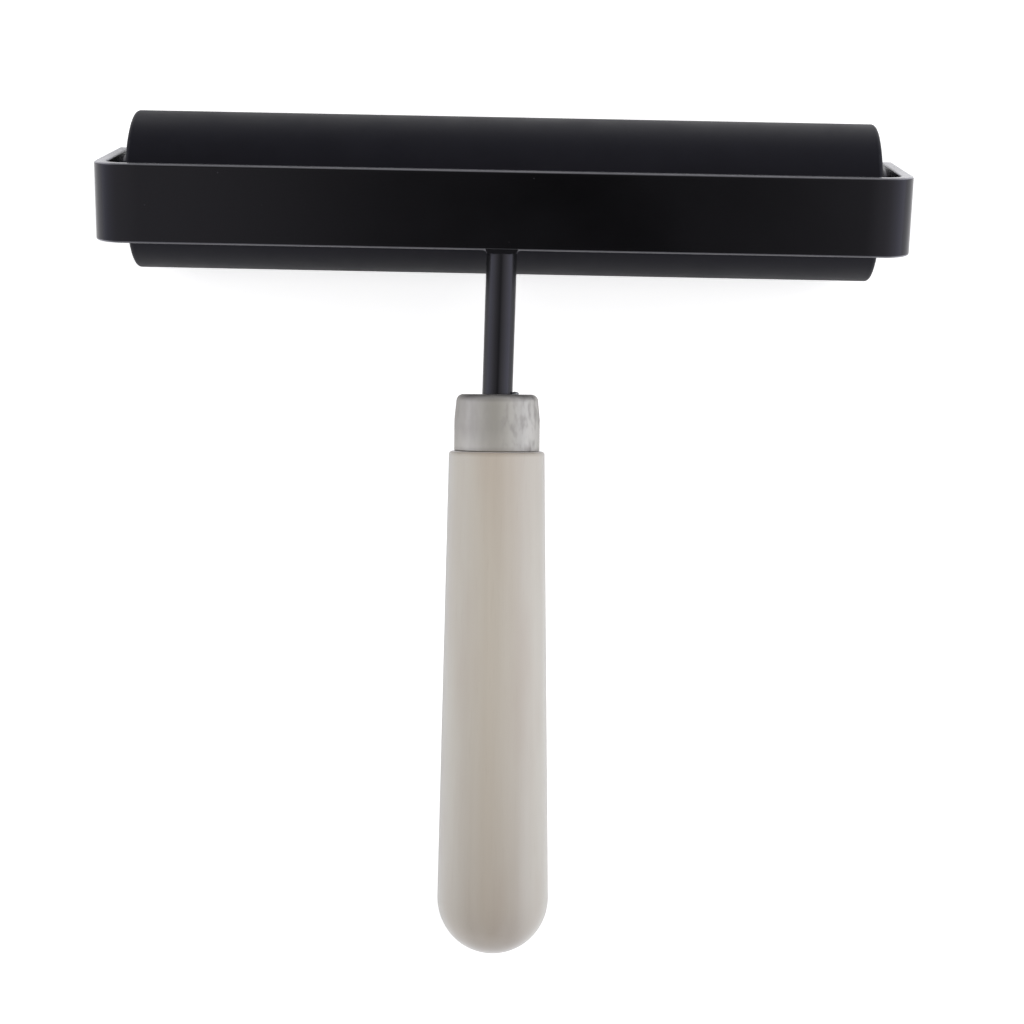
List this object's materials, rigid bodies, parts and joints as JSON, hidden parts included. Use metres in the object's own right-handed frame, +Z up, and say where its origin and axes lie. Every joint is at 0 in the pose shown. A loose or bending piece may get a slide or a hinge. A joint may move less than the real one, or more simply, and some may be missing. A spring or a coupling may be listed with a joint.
{
  "type": "rubber brayer",
  "caption": "Hand brayer: a rubber-covered roller turning freely in a bent steel strap frame, on a raked rod with a metal ferrule and a turned wooden grip.",
  "frame": {"origin": "on the surface that the brayer lies on, under the middle of its outline", "axes": "+X along the roller's axis, +Y from the grip's butt towards the roller, +Z up, as the brayer lies on its rubber and on the butt of its grip"},
  "size_m": [0.1654, 0.169, 0.0414],
  "materials": {
    "black_enamel": "satin baked enamel",
    "black_rubber": "ground matte",
    "bare_wood": "turned and sanded, unvarnished",
    "ferrule_metal": "drawn sheet, dull nickel plate",
    "zinc_steel": "zinc plated",
    "axle_steel": "bright drawn bar",
    "core_aluminium": "drawn tube",
    "bush_nylon": "moulded black nylon"
  },
  "bodies": {
    "frame": {"frame_strap": "black_enamel", "handle_rod": "black_enamel", "ferrule": "ferrule_metal", "handle_grip": "bare_wood", "axle": "axle_steel", "left_spacer": "black_enamel", "right_spacer": "black_enamel", "left_lock_washer": "zinc_steel", "right_lock_washer": "zinc_steel", "left_axle_screw": "zinc_steel", "right_axle_screw": "zinc_steel"},
    "roller": {"roller_core": "core_aluminium", "rubber_cover": "black_rubber", "left_end_bush": "bush_nylon", "right_end_bush": "bush_nylon"}
  },
  "joints": [
    {"name": "roller_spin", "type": "hinge", "parent": "frame", "child": "roller", "pos_m": [0, 0.06858, 0.0159], "axis": [1, 0, 0], "continuous": true}
  ]
}
